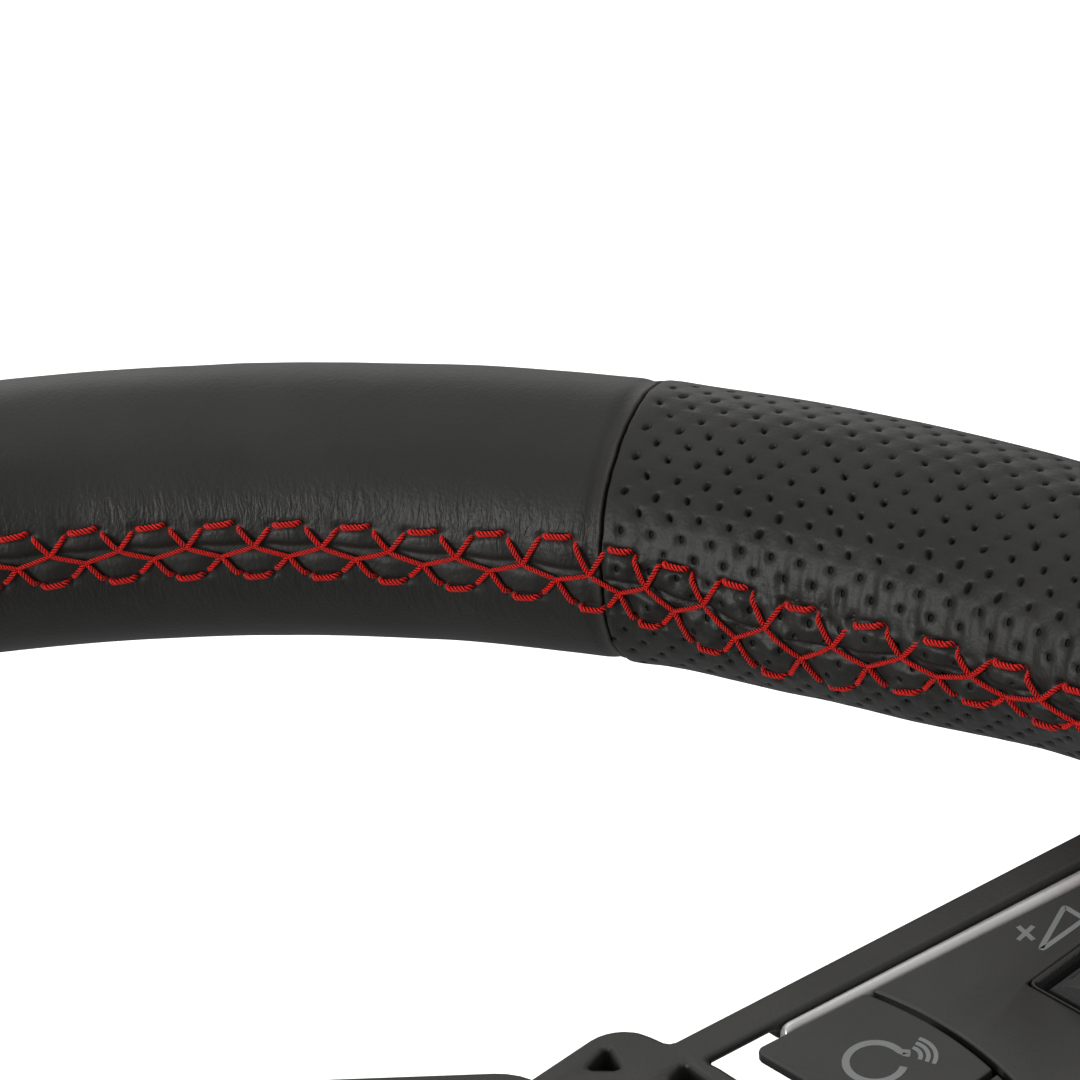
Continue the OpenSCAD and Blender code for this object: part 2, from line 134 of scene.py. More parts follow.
def from_side(c):
    """Degrees between clock angle c and the nearer of 3 and 9 o'clock."""
    return np.abs(np.abs((c + 180) % 360 - 180) - 90)


def stitch_phi(c):
    """Where the stitch line lies in the rim's section: 90 faces the driver, 180 the hub."""
    e = from_side(c)
    return 170.6 + 8 * smoothstep(40, 20, e) + 11 * bell(e - 16.7, 4.9) - 2.8 * near_seam(e)


def near_seam(e):
    return smoothstep(35, 27, e) * smoothstep(8, 14, e)


def spread(c):
    return bell(from_side(c) - 17.5, 5)


def bar_height(c, side=1):
    """Distance of the bars from the stitch line, on the driver's side (1) or the hub's (-1)."""
    e = from_side(c)
    return 3.1 + 1.9 * spread(c) + np.where(side > 0, 1.15 * bell(e - 27, 4), 0.5 * near_seam(e))


def crossing_height(c):
    return 0.55 + 0.8 * spread(c)


# how far the stitches are drawn, in degrees, against the distance from 3 or 9 o'clock
SHIFT_E = [0, 5, 10.9, 14, 17, 19.7, 22.4, 25, 25.7, 90]
SHIFT_BY = [0, .32, .7, .9, 1.0, .84, .59, .1, 0, 0]


def toward_seam(c):
    """How far the stitches near a grip are drawn towards its seam, signed along the clock angle."""
    w = (c + 180) % 360 - 180
    side = np.sign(np.abs(w) - 90) * np.sign(w)
    return side * np.interp(from_side(c), SHIFT_E, SHIFT_BY)


def rim_point(c, phi, r):
    c, phi = np.radians(c), np.radians(phi)
    ring = RIM_R + r * np.cos(phi)
    return np.stack([ring * np.sin(c), ring * np.cos(c), RIM_Z + r * np.sin(phi)], -1)


def section_swell(c, phi, grip):
    """How far the rim's section is from round: hand-laid leather over the foam."""
    e = from_side(c)
    phi = phi % 360
    low = np.abs((phi - 230 + 180) % 360 - 180)
    out = 0.35 * bell(e - 19.5, 3) * smoothstep(50, 20, np.abs((phi - 215 + 180) % 360 - 180))
    out = out - 2.1 * smoothstep(14.5, 5.5, e) * smoothstep(58, 16, low)
    if grip:
        out = out + 0.2 * bell(SEAM - e, 1.2)
    return out


def stitch_relief(c, front, deep):
    """Height of the leather round the stitches. front is mm from the stitch line towards the driver."""
    nominal = c - toward_seam(c)
    step = (nominal - FIRST) / PITCH
    out = np.zeros(np.broadcast(c, front).shape)
    for side, phase in ((1, 0.0), (-1, 0.5)):
        h = bar_height(c, side)
        along = ((step - phase + 0.5) % 1 - 0.5) * PITCH * DEG_MM
        away = front * side
        hole = np.hypot(np.abs(along) - BAR / 2 - 0.25, (away - h + 0.25) * 0.8)
        out = out - 0.62 * deep * bell(hole, 0.40)
        inside = smoothstep(-0.4, 0.9, away) * smoothstep(h + 0.1, h - 0.9, away)
        out = out + 0.42 * deep * inside * (0.5 + 0.5 * np.cos(along / (PITCH * DEG_MM) * 2 * math.pi))
        crumple = noise(nominal * DEG_MM / 1.7 + 9 * side, front / 1.3, 7)
        out = out + 0.12 * deep ** 3 * inside * crumple
        pinch = bell(away - h, 0.35) * smoothstep(BAR / 2 + 0.3, BAR / 2 - 0.3, np.abs(along))
        out = out - 0.16 * deep * pinch
        beyond = np.clip(away - h, 0, None)
        fold = noise(nominal * DEG_MM / 1.7 + 3.1 * side, away / 7, 5)
        fold = fold + 0.5 * np.cos((np.abs(along) - BAR / 2) * 2 * math.pi / 2.6)
        out = out + 0.065 * deep ** 2 * fold * smoothstep(0.2, 1.2, beyond) * np.exp(-beyond / (1.3 + deep))
    return out - 0.45 * bell(front - 0.6, 0.33) - 0.12 * bell(front, 4.5)


def unevenness(c, phi):
    return 0.07 * noise(c * DEG_MM / 11, phi * PHI_MM / 9, 1) + 0.03 * noise(c * DEG_MM / 4, phi * PHI_MM / 4, 2)


def seam_wander(phi, edge):
    """How far the cut edges at a seam stray along the rim, in degrees."""
    return (0.16 * noise(phi / 11, 3.5, 31) + 0.09 * noise(phi / 3.1, 8.5, 32)) / DEG_MM * bell(edge, 1.3)


# ------------------------------------------------------------------ mesh making
def grid_faces(ids, closed=False):
    """Quads over a table of vertex numbers; closed joins the last column to the first."""
    ids = np.asarray(ids)
    if closed:
        ids = np.concatenate([ids, ids[:, :1]], 1)
    return np.stack([ids[:-1, :-1], ids[1:, :-1], ids[1:, 1:], ids[:-1, 1:]], -1).reshape(-1, 4).tolist()


def flipped(verts, faces, mirrored):
    """The left side's shape: the right side's, mirrored in x."""
    if mirrored:
        verts[:, 0] *= -1
        faces = [f[::-1] for f in faces]
    return verts, faces


def make(name, verts, faces, material, body="wheel", stands_for=(), smooth=True, values=None,
         nested=False):
    """A new piece from points in mm, with its faces turned outward.

    values holds one number or vector a point, by attribute name. nested says that the piece has an inner
    wall of its own, so its faces already point the right way and stay as they are.
    """
    mesh = bpy.data.meshes.new(name)
    mesh.from_pydata((np.asarray(verts, float) * MM).tolist(), [], faces)
    if not nested:
        form = bmesh.new()
        form.from_mesh(mesh)
        bmesh.ops.recalc_face_normals(form, faces=form.faces)
        form.to_mesh(mesh)
        form.free()
    mesh.update()
    piece = bpy.data.objects.new(name, mesh)
    bpy.context.scene.collection.objects.link(piece)
    mesh.materials.append(material)
    mesh.polygons.foreach_set("use_smooth", [smooth] * len(mesh.polygons))
    for key, data in (values or {}).items():
        data = np.asarray(data, np.float32)
        kind, field = ("FLOAT", "value") if data.ndim == 1 else ("FLOAT_VECTOR", "vector")
        mesh.attributes.new(key, kind, "POINT").data.foreach_set(field, data.ravel())
    return declare(piece, body, stands_for)


def declare(piece, body, stands_for):
    """Says which body the piece moves with and hides the CAD nodes it stands for."""
    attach(piece, body)
    if stands_for:
        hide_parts(*stands_for)
    return piece


# ------------------------------------------------------------------ materials
class Nodes:
    """A short way to wire one material's nodes."""

    def __init__(self, name):
        self.material = bpy.data.materials.new(name)
        self.material.use_nodes = True
        self.tree = self.material.node_tree
        self.tree.nodes.clear()
        self.shader = self.tree.nodes.new("ShaderNodeBsdfPrincipled")
        self.link(self.shader.outputs[0], self.tree.nodes.new("ShaderNodeOutputMaterial").inputs[0])
        self.place = self.tree.nodes.new("ShaderNodeTexCoord").outputs["Object"]

    def link(self, a, b):
        self.tree.links.new(a, b)

    def put(self, socket, value):
        if isinstance(value, bpy.types.NodeSocket):
            self.link(value, socket)
        elif isinstance(value, (tuple, list)) and len(value) == 3 and len(socket.default_value) == 4:
            socket.default_value = (*value, 1)
        else:
            socket.default_value = value

    def set(self, **values):
        for key, value in values.items():
            self.put(self.shader.inputs[key.replace("_", " ")], value)

    def math(self, operation, a, b=0.0):
        n = self.tree.nodes.new("ShaderNodeMath")
        n.operation = operation
        self.put(n.inputs[0], a)
        self.put(n.inputs[1], b)
        return n.outputs[0]

    def scaled(self, vector, by):
        n = self.tree.nodes.new("ShaderNodeVectorMath")
        n.operation = "MULTIPLY"
        self.put(n.inputs[0], vector)
        n.inputs[1].default_value = by
        return n.outputs[0]

    def noise(self, scale, detail=2.0, roughness=0.5, vector=None, distortion=0.0):
        n = self.tree.nodes.new("ShaderNodeTexNoise")
        self.put(n.inputs["Vector"], vector or self.place)
        wanted = {"Scale": scale, "Detail": detail, "Roughness": roughness, "Distortion": distortion}
        for key, value in wanted.items():
            n.inputs[key].default_value = value
        return n.outputs[0]

    def pebble(self, scale):
        """Rounded cells, as in leather grain or a spark-eroded mould."""
        n = self.tree.nodes.new("ShaderNodeTexVoronoi")
        n.feature = "SMOOTH_F1"
        self.put(n.inputs["Vector"], self.place)
        n.inputs["Scale"].default_value = scale
        n.inputs["Randomness"].default_value = 1.0
        return n.outputs["Distance"]

    def ramp(self, value, low, high, a=0.0, b=1.0):
        n = self.tree.nodes.new("ShaderNodeMapRange")
        n.interpolation_type = "SMOOTHSTEP"
        for socket, v in zip(n.inputs, (value, low, high, a, b)):
            self.put(socket, v)
        return n.outputs[0]

    def mix(self, factor, a, b):
        n = self.tree.nodes.new("ShaderNodeMix")
        n.data_type = "RGBA"
        self.put(n.inputs[0], factor)
        self.put(n.inputs[6], a)
        self.put(n.inputs[7], b)
        return n.outputs[2]

    def attribute(self, name):
        """A point attribute's vector, and its three numbers apart."""
        n = self.tree.nodes.new("ShaderNodeAttribute")
        n.attribute_name = name
        apart = self.tree.nodes.new("ShaderNodeSeparateXYZ")
        self.link(n.outputs["Vector"], apart.inputs[0])
        return n.outputs["Vector"], tuple(apart.outputs)

    def bump(self, height, distance, before=None):
        n = self.tree.nodes.new("ShaderNodeBump")
        n.inputs["Strength"].default_value = 1.0
        n.inputs["Distance"].default_value = distance
        self.put(n.inputs["Height"], height)
        if before is not None:
            self.link(before, n.inputs["Normal"])
        self.put(self.shader.inputs["Normal"], n.outputs[0])
        return n.outputs[0]


def punched(m):
    """1 inside the holes of a grip's stitched band, where the holes are bumped in and painted in shade. Attribute
    lattice: cells along, rows round, strength.
    """
    _, (u, v, strength) = m.attribute("lattice")
    parity = m.math("MODULO", m.math("FLOOR", v), 2.0)
    u = m.math("SUBTRACT", u, m.math("MULTIPLY", m.math("SUBTRACT", 1.0, parity), 0.5))
    du = m.math("MULTIPLY", m.math("SUBTRACT", m.math("FRACT", u), 0.5), CELL * DEG_MM)
    dv = m.math("MULTIPLY", m.math("SUBTRACT", m.math("FRACT", v), 0.5), ROW * PHI_MM * 0.62)
    stray = m.math("MULTIPLY", m.math("SUBTRACT", m.noise(420, 2), 0.5), 0.5)
    du = m.math("ADD", du, stray)
    off = m.math("SQRT", m.math("ADD", m.math("MULTIPLY", du, du), m.math("MULTIPLY", dv, dv)))
    return m.math("MULTIPLY", m.ramp(off, 0.13, 0.30, 1.0, 0.0), strength)


def leather(name, base, pale, perforated):
    """Attribute rim_sw: mm along the rim, mm in front of the stitches, and 1 in a pit, which is painted in shade,
    down to below 0 in a band painted with a paler sheen.
    """
    m = Nodes(name)
    _, (along, front, pit) = m.attribute("rim_sw")
    # creases: how dense they are along and across, their detail, reach in mm, gloss and depth
    dense, long, detail, reach, gloss, depth = \
        (0.5, 0.15, 2, 7.5, 0.03, 0.00013) if perforated else (1.1, 0.34, 3, 5.5, 0.06, 0.00022)
    blotch = m.noise(60, 4, 0.6)
    grain = m.pebble(2300)
    pores = m.noise(3800, 3, 0.6)
    # creases that run across the stitch line and fade away from it
    streak = m.tree.nodes.new("ShaderNodeCombineXYZ")
    m.put(streak.inputs[0], m.math("MULTIPLY", along, dense))
    m.put(streak.inputs[1], m.math("MULTIPLY", front, long))
    creases = m.noise(1.0, detail, 0.5, streak.outputs[0], 1.3)
    far = m.math("SUBTRACT", m.math("ABSOLUTE", front), 4.5)
    near = m.ramp(m.math("ABSOLUTE", far), 0.3, reach, 1.0, 0.02)
    near = m.math("MULTIPLY", near, m.ramp(m.noise(90, 2), 0.3, 0.6, 0.35, 1.0))
    colour = m.mix(m.ramp(blotch, 0.35, 0.7), base, pale)
    # painted shade: pits, the seam line and the band's holes go near black; painted sheen: a paler brownish band
    # beside the seam
    painted_shade, wear_and_sheen = m.math("MAXIMUM", pit, 0.0), m.math("MAXIMUM", m.math("MULTIPLY", pit, -1.0), 0.0)
    if perforated:
        hole = punched(m)
        painted_shade = m.math("MAXIMUM", painted_shade, hole)
    colour = m.mix(wear_and_sheen, colour, (0.045, 0.039, 0.033))
    m.set(Base_Color=m.mix(painted_shade, colour, (0.003, 0.003, 0.003)))
    rough = m.math("ADD", m.math("MULTIPLY", m.noise(25, 3), 0.14), 0.40)
    rough = m.math("ADD", rough, m.math("MULTIPLY", painted_shade, 0.35))
    rough = m.math("SUBTRACT", rough, m.math("MULTIPLY", near, gloss))
    m.set(Roughness=m.math("ADD", rough, m.math("MULTIPLY", pores, 0.08)))
    m.set(Specular_IOR_Level=0.36, IOR=1.46)
    n = m.bump(m.math("MULTIPLY", creases, near), depth)
    if perforated:
        n = m.bump(m.math("MULTIPLY", hole, -1.0), 0.00030, n)
    n = m.bump(m.math("ADD", grain, m.math("MULTIPLY", pores, 0.55)), 0.00003, n)
    m.bump(m.noise(330, 3, 0.55), 0.00004, n)
    return m.material


def thread(name, base, painted_shade):
    """Attribute strand: mm along, angle round the strand, and 1 on the twist's crown down to -1 in its groove,
    where the colour is painted in shade.
    """
    m = Nodes(name)
    fibre = m.noise(5200, 3, 0.7)
    where, (_, _, twist) = m.attribute("strand")
    wave = m.noise(14, 2, 0.6, m.scaled(where, (0.55, 9.0, 0.0)))
    fuzz = m.math("MULTIPLY", m.math("SUBTRACT", fibre, 0.5), 0.9)
    # painted shade: the colour runs from the base on the crown to the shaded colour in the groove
    crown = m.math("ADD", m.ramp(twist, -0.4, 0.85), fuzz)
    m.set(Base_Color=m.mix(m.ramp(crown, 0.0, 1.0), painted_shade, base))
    m.set(Roughness=0.5, Specular_IOR_Level=0.3)
    n = m.bump(wave, 0.00009)
    m.bump(fibre, 0.00003, n)
    return m.material


def moulded(name, base, roughness, grain=0.0, grain_scale=1800, wear=(0.1, 0.1, 0.1)):
    """Moulded plastic: a spark-eroded grain, faint flow mottling and slightly worn edges."""
    m = Nodes(name)
    mottle = m.noise(90, 4, 0.55)
    edge = m.tree.nodes.new("ShaderNodeNewGeometry").outputs["Pointiness"]
    wear_and_sheen = m.math("MULTIPLY", m.ramp(edge, 0.56, 0.68), m.ramp(m.noise(400, 3), 0.35, 0.65))
    tone = m.mix(m.ramp(mottle, 0.3, 0.7), base, tuple(min(1, x * 1.16 + 0.002) for x in base))
    m.set(Base_Color=m.mix(m.math("MULTIPLY", wear_and_sheen, 0.25), tone, wear))
    m.set(Roughness=m.math("ADD", m.math("MULTIPLY", m.noise(220, 3), 0.12), roughness - 0.06))
    fine = m.math("MULTIPLY", m.noise(grain_scale * 2, 2), 0.5)
    n = m.bump(m.math("ADD", m.pebble(grain_scale), fine), 0.00001 + 0.00008 * grain)
    m.bump(m.noise(40, 2), 0.00002, n)
    return m.material


def metal(name, base, roughness, brushed=0.0, cast=0.0, turned=False, metallic=1.0):
    """Bare or anodised metal with turning lines, drawing lines or an as-cast skin."""
    m = Nodes(name)
    stretch = (1.0, 1.0, 26.0) if turned else (1.0, 1.0, 1.0)
    lines = m.noise(900, 3, 0.6, m.scaled(m.place, stretch))
    smear = m.noise(70, 4, 0.6)
    tone = m.mix(m.ramp(smear, 0.3, 0.75), base, tuple(x * 0.86 for x in base))
    m.set(Base_Color=tone, Metallic=metallic)
    m.set(Roughness=m.math("ADD", m.math("MULTIPLY", lines, 0.16), roughness - 0.06))
    n = m.bump(lines, 0.00001 + 0.00003 * brushed)
    if cast:
        m.bump(m.math("ADD", m.pebble(1300), m.noise(700, 4, 0.7)), 0.00006 * cast, n)
    return m.material


LEATHER = leather("smooth_leather", (0.0118, 0.0117, 0.0096), (0.0160, 0.0157, 0.0132), False)
PERFORATED = leather("perforated_leather", (0.0104, 0.0104, 0.0086), (0.0146, 0.0143, 0.0120), True)
# each thread's second colour is its painted shade in the twist's grooves
RED = thread("red_thread", (0.98, 0.026, 0.017), (0.30, 0.002, 0.002))
BLACK_THREAD = thread("black_thread", (0.02, 0.02, 0.02), (0.008, 0.008, 0.008))
FOAM = moulded("foam", (0.02, 0.02, 0.02), 0.9, 1.0, 900)
LOOKS = {
    "smooth_leather": LEATHER, "perforated_leather": PERFORATED, "red_thread": RED, "foam": FOAM,
    "grained_plastic": moulded("grained_plastic", (0.020, 0.020, 0.0175), 0.5, 0.12, 2600),
    "panel_plastic": moulded("panel_plastic", (0.0225, 0.023, 0.0215), 0.46, 0.03, 4200),
    "horn_plastic": moulded("horn_plastic", (0.022, 0.022, 0.022), 0.55, 0.9, 1100),
    "roller_rubber": moulded("roller_rubber", (0.03, 0.03, 0.03), 0.5, 0.3, 2400),
    "black_plastic": moulded("black_plastic", (0.014, 0.014, 0.014), 0.5, 0.3, 2000),
    "circuit_board": moulded("circuit_board", (0.010, 0.07, 0.026), 0.35, 0.2, 700),
    "silicone": moulded("silicone", (0.42, 0.42, 0.40), 0.55, 0.2, 1500, (0.5, 0.5, 0.5)),
    "silver_trim": metal("silver_trim", (0.60, 0.60, 0.59), 0.34, 0.3, metallic=0.6),
    "anodised_silver": metal("anodised_silver", (0.60, 0.60, 0.61), 0.34, 0.8, turned=True),
    "anodised_black": metal("anodised_black", (0.035, 0.035, 0.038), 0.36, 0.8, turned=True),
    "anodised_red": metal("anodised_red", (0.50, 0.012, 0.014), 0.32, 0.7, turned=True),
    "cast_alloy": metal("cast_alloy", (0.50, 0.50, 0.49), 0.46, 0.2, cast=1.0),
    "spring_steel": metal("spring_steel", (0.46, 0.46, 0.47), 0.3, 0.6),
    "black_steel": metal("black_steel", (0.03, 0.03, 0.03), 0.42, 0.4),
    "gold_contacts": metal("gold_contacts", (0.80, 0.56, 0.20), 0.25, 0.3),
}
GLOSS = moulded("gloss_black", (0.012, 0.012, 0.012), 0.22, 0.02, 4200)
PRINT = moulded("printed_mark", (0.18, 0.193, 0.193), 0.5, 0.05, 4200)


# ------------------------------------------------------------------ smooth leather
def leather_rows():
    """mm from the stitch line round the section, close together beside the stitches."""
    half = math.pi * GRIP_R
    out, at = [0.0], 0.0
    while at < half - 0.9:
        at += 0.33 if at < 6.4 else 0.62 if at < 12 else 1.25
        out.append(at)
    out = [x for x in out if x < half - 0.5]
    back = [-x for x in out[1:]]
    return np.array(sorted(back + out + [half]))


def shell(name, c, front, radius, pit, inner_every=12):
    """A closed sleeve of leather: radius is its outer surface over the clock angles c and rows front."""
    nc, nr = radius.shape
    phi = stitch_phi(c)[:, None] - front[None, :] / PHI_MM
    cc = np.broadcast_to(c[:, None], phi.shape)
    edge = np.minimum(cc - c[0], c[-1] - cc) * DEG_MM
    outer = rim_point(cc + seam_wander(phi % 360, edge), phi, radius).reshape(-1, 3)
    keep = sorted({*range(0, nc, inner_every), nc - 1})
    lining = LINING_R + section_swell(cc[keep], phi[keep], False)
    inner = rim_point((cc + seam_wander(phi % 360, edge))[keep], phi[keep], lining).reshape(-1, 3)
    ids = np.arange(nc * nr).reshape(nc, nr)
    inside = nc * nr + np.arange(len(keep) * nr).reshape(len(keep), nr)
    faces = grid_faces(ids, True) + grid_faces(inside[:, ::-1], True)
    faces += grid_faces(np.stack([inside[0], ids[0]]), True)
    faces += grid_faces(np.stack([ids[-1], inside[-1]]), True)
    where = np.stack([cc * DEG_MM, np.broadcast_to(front, phi.shape), pit], -1)
    values = {"rim_sw": np.concatenate([where.reshape(-1, 3), where[keep].reshape(-1, 3)])}
    make(name, np.concatenate([outer, inner]), faces, LEATHER, "wheel", [name], values=values)


def smooth_leather(name, start, end):
    """One length of smooth leather between clock angles, with 16 columns a stitch and more beside its edges."""
    k0, k1 = math.floor((start - FIRST) / PITCH * 16), math.ceil((end - FIRST) / PITCH * 16)
    c = FIRST + (np.arange(k0, k1) + 0.5) * PITCH / 16
    near = np.array([0, .08, .18, .32, .5, .75, 1.05, 1.4, 1.75, 2.1]) / DEG_MM
    clear = 2.3 / DEG_MM
    c = np.concatenate([start + near, c[(c > start + clear) & (c < end - clear)], (end - near)[::-1]])
    front = leather_rows()
    cc, ff = c[:, None], front[None, :]
    phi = stitch_phi(cc) - ff / PHI_MM
    edge = np.minimum(c - start, end - c)[:, None] * DEG_MM
    r = GRIP_R + section_swell(cc, phi, False) + unevenness(cc, phi)
    r = r + stitch_relief(cc, ff, 0.8) * smoothstep(0.3, 2.0, edge)
    # the turned edge stands as a soft roll beside the seam, with a shallow dip behind it
    r = r - 0.9 * bell(edge, 0.17) - 0.24 * bell(edge - 1.4, 0.8) - 0.06 * bell(edge, 0.9)
    # painted shade: a near-black line on the seam edge; painted sheen: a paler patchy band about 0.5 mm behind it,
    # on the roll
    patchy = 0.55 + 0.45 * noise(phi / 8, 2.5, 33)
    pit = bell(edge, 0.13) - 0.75 * patchy * bell(edge - 0.5, 0.26)
    shell(name, c, front, r, pit)


smooth_leather("leather_top", -(90 - SEAM), 90 - SEAM)
smooth_leather("leather_bottom", 90 + SEAM, 270 - SEAM)

# ------------------------------------------------------------------ perforated grips
RINGS = [(0.60, 0.03), (0.33, 0.17), (0.23, 0.72)]     # a hole's rings: radius and depth in mm
FINE_C, FINE_R = 12, 8          # the stitched band's columns a cell and lines a row


def grip(name, mirrored):
    """A closed sleeve with open cells of holes and a finer band under the stitches."""
    start = 90 - SEAM
    keys, pts = {}, []          # vertices as (clock angle, phi, depth)

    def corner(i, j):
        """Shared vertex at i quarter cells along and j half rows round."""
        j %= 2 * ROWS
        if (i, j) not in keys:
            keys[i, j] = len(pts)
            pts.append((start + STRIP + i * CELL / 4, ROW0 + j * ROW / 2, 0.0))
        return keys[i, j]

    faces = []
    last = round(4 * CELLS)     # the grip's length in quarter cells
    turn = np.radians(np.arange(12) * 30)
    rng = np.random.default_rng(77)
    plain = range(PLAIN0, PLAIN0 + PLAIN_ROWS)
    for row in range(ROWS):
        if row in plain:
            continue
        j = 2 * row
        odd = row % 2
        for cell in range(math.floor(CELLS)):
            i = 4 * cell + 2 * (1 - odd)
            loop = [(4, 1), (4, 2), (3, 2), (2, 2), (1, 2), (0, 2),
                    (0, 1), (0, 0), (1, 0), (2, 0), (3, 0), (4, 0)]
            rim = [corner(i + a, j + b) for a, b in loop]
            c0 = start + STRIP + (i + 2) * CELL / 4 + np.clip(rng.normal(0, 0.03), -0.06, 0.06)
            phi0 = ROW0 + (j + 1) * ROW / 2 + np.clip(rng.normal(0, 0.3), -0.6, 0.6)
            across = (RIM_R + GRIP_R * math.cos(math.radians(phi0))) * math.pi / 180
            grow = 1 + np.clip(rng.normal(0, 0.12), -0.3, 0.2)
            lean = np.clip(rng.normal(0, 0.3), -0.5, 0.5)
            slit = rng.uniform(1.0, 1.45)
            front = (stitch_phi(np.array(c0)) - phi0) * PHI_MM
            drawn = smoothstep(25, 19, from_side(c0))
            long = 1 + (0.25 + 0.65 * drawn) * bell(abs(front) - 6.0, 3.6)
            for radius, depth in RINGS:
                new = list(range(len(pts), len(pts) + 12))
                within = radius < 0.5       # inside the hole, not on its soft rim
                tall = long * (slit if within else 1.0)
                for t in turn:
                    x = grow * radius * math.cos(t) / math.sqrt(tall)
                    y = grow * radius * math.sin(t) * tall
                    pts.append((c0 + (x + (lean * y if within else 0)) / across, phi0 + y / PHI_MM, depth))
                for k in range(12):
                    n = (k + 1) % 12
                    faces.append((rim[k], rim[n], new[n], new[k]))
                rim = new
            faces.append(tuple(rim))
        # the half cell that is left at one end of the row
        i = last - 2 if odd else 0
        mid = len(pts)
        pts.append((start + STRIP + (i + 1) * CELL / 4, ROW0 + (j + 1) * ROW / 2, 0.0))
        loop = [corner(i + a, j + b) for a, b in [(2, 0), (2, 1), (2, 2), (1, 2), (0, 2), (0, 1), (0, 0), (1, 0)]]
        for k in range(0, 8, 2):
            faces.append((mid, loop[(k - 1) % 8], loop[k], loop[(k + 1) % 8]))
    # the stitched band, as a fine grid that fans out to the cells beside it
    nf = round(CELLS * FINE_C)
    rows = PLAIN_ROWS * FINE_R
    fine = {}
    for a in range(nf + 1):
        for b in range(1, rows):
            fine[a, b] = len(pts)
            pts.append((start + STRIP + a * CELL / FINE_C, ROW0 + (PLAIN0 + b / FINE_R) * ROW, -1.0))
    for a in range(nf):
        for b in range(1, rows - 1):
            faces.append((fine[a, b], fine[a + 1, b], fine[a + 1, b + 1], fine[a, b + 1]))
    for q in range(last):
        lo0, lo1 = corner(q, 2 * PLAIN0), corner(q + 1, 2 * PLAIN0)
        hi0, hi1 = corner(q, 2 * (PLAIN0 + PLAIN_ROWS)), corner(q + 1, 2 * (PLAIN0 + PLAIN_ROWS))
        f = [fine[3 * q + k, 1] for k in range(4)]
        g = [fine[3 * q + k, rows - 1] for k in range(4)]
        faces += [(lo0, f[1], f[0]), (lo0, f[2], f[1]), (lo0, lo1, f[2]), (lo1, f[3], f[2])]
        faces += [(hi0, g[0], g[1]), (hi0, g[1], g[2]), (hi0, g[2], hi1), (hi1, g[2], g[3])]

    def side_ring(a_cell, a_fine):
        """The points round one end of the sleeve."""
        ring = []
        for row in range(ROWS):
            if row not in plain:
                ring += [corner(a_cell, 2 * row), corner(a_cell, 2 * row + 1)]
            elif row == PLAIN0:
                ring += [corner(a_cell, 2 * row)] + [fine[a_fine, b] for b in range(1, rows)]
        return ring

    # the turned edges at the seams, then the lining
    for ring, outward in ((side_ring(0, 0), 1), (side_ring(last, nf), -1)):
        edge_c = start if outward == 1 else start + 2 * SEAM
        loops = [ring]
        for back in (0.085, 0.035, 0.0):
            loops.append(list(range(len(pts), len(pts) + len(ring))))
            pts.extend((edge_c + outward * back, pts[v][1], 0.0) for v in ring)
        faces += grid_faces(np.array(loops)[:, ::outward], True)
        if outward == 1:
            first_edge = loops[-1]
        else:
            last_edge = loops[-1]
    around = len(first_edge)
    steps = 31
    base = len(pts)
    for k in range(steps):
        pts.extend((start + 2 * SEAM * k / (steps - 1), pts[v][1], INSIDE) for v in first_edge)
    inside = base + np.arange(steps * around).reshape(steps, around)
    faces += grid_faces(inside, True)
    faces += grid_faces(np.stack([first_edge, inside[0]]), True)
    faces += grid_faces(np.stack([inside[-1], last_edge]), True)
    faces = [tuple(int(v) for v in f) for f in faces]

    p = np.array(pts)
    c, phi, depth = p.T
    front = (stitch_phi(c) - phi) * PHI_MM
    front = (front + math.pi * GRIP_R) % (2 * math.pi * GRIP_R) - math.pi * GRIP_R
    edge = np.minimum(c - start, start + 2 * SEAM - c) * DEG_MM
    lift = section_swell(c, phi, True) + unevenness(c, phi)
    lift = lift + stitch_relief(c, front, 1.35) * smoothstep(0.0, 1.2, edge)
    # gathers between the columns of holes, where the wrap is drawn in towards the stitches
    column = (c - start - STRIP) / CELL * 2 * 2 * math.pi
    gather = smoothstep(27, 17, from_side(c)) * bell(np.abs(front) - 6.0, 4.2) * np.where(front > 0, 1.0, 0.3)
    lift = lift - 0.06 * gather * np.cos(column) * (0.7 + 0.6 * noise(c * DEG_MM / 4, front / 5, 9))
    lift = lift + 0.17 * gather * noise((c * DEG_MM + 0.35 * front) / 1.5, front / 4.5, 12)
    # holes of the stitched band
    band = depth < 0
    row_at = (phi - ROW0) / ROW
    row = np.floor(row_at)
    cell_at = (c - start - STRIP) / CELL - 0.5 * (1 - row % 2)
    off = np.hypot(((cell_at % 1) - 0.5) * CELL * DEG_MM, ((row_at % 1) - 0.5) * ROW * PHI_MM)
    clear = smoothstep(0.5, 1.0, np.abs(np.abs(front) - bar_height(c, front)))
    clear = clear * smoothstep(0.4, 0.8, np.abs(front - 0.6))
    hole = band * bell(off, 0.45) * clear
    lift = lift - 0.35 * hole
    lattice = np.stack([(c - start - STRIP) / CELL, row_at, band * clear], -1)
    lift = lift - 0.75 * bell(edge, 0.13) - 0.05 * bell(edge, 0.7) - np.where(band, 0, np.clip(depth, 0, 5))
    # painted shade: darker the deeper a hole goes, and along the seam edge
    pit = np.where(band, 0, smoothstep(0.1, 0.5, depth))
    pit = np.maximum(pit, 0.8 * (edge < 0.1))
    r = np.where(depth == INSIDE, LINING_R + section_swell(c, phi, False), GRIP_R + lift)
    edge = np.where(depth == INSIDE, np.maximum(edge, 0), edge)
    verts, faces = flipped(rim_point(c + seam_wander(phi % 360, edge), phi, r), faces, mirrored)
    make(name, verts, [f[::-1] for f in faces], PERFORATED, "wheel", [name],
         values={"rim_sw": np.stack([c * DEG_MM, front, pit], -1), "lattice": lattice})


grip("leather_grip_right", False)
grip("leather_grip_left", True)


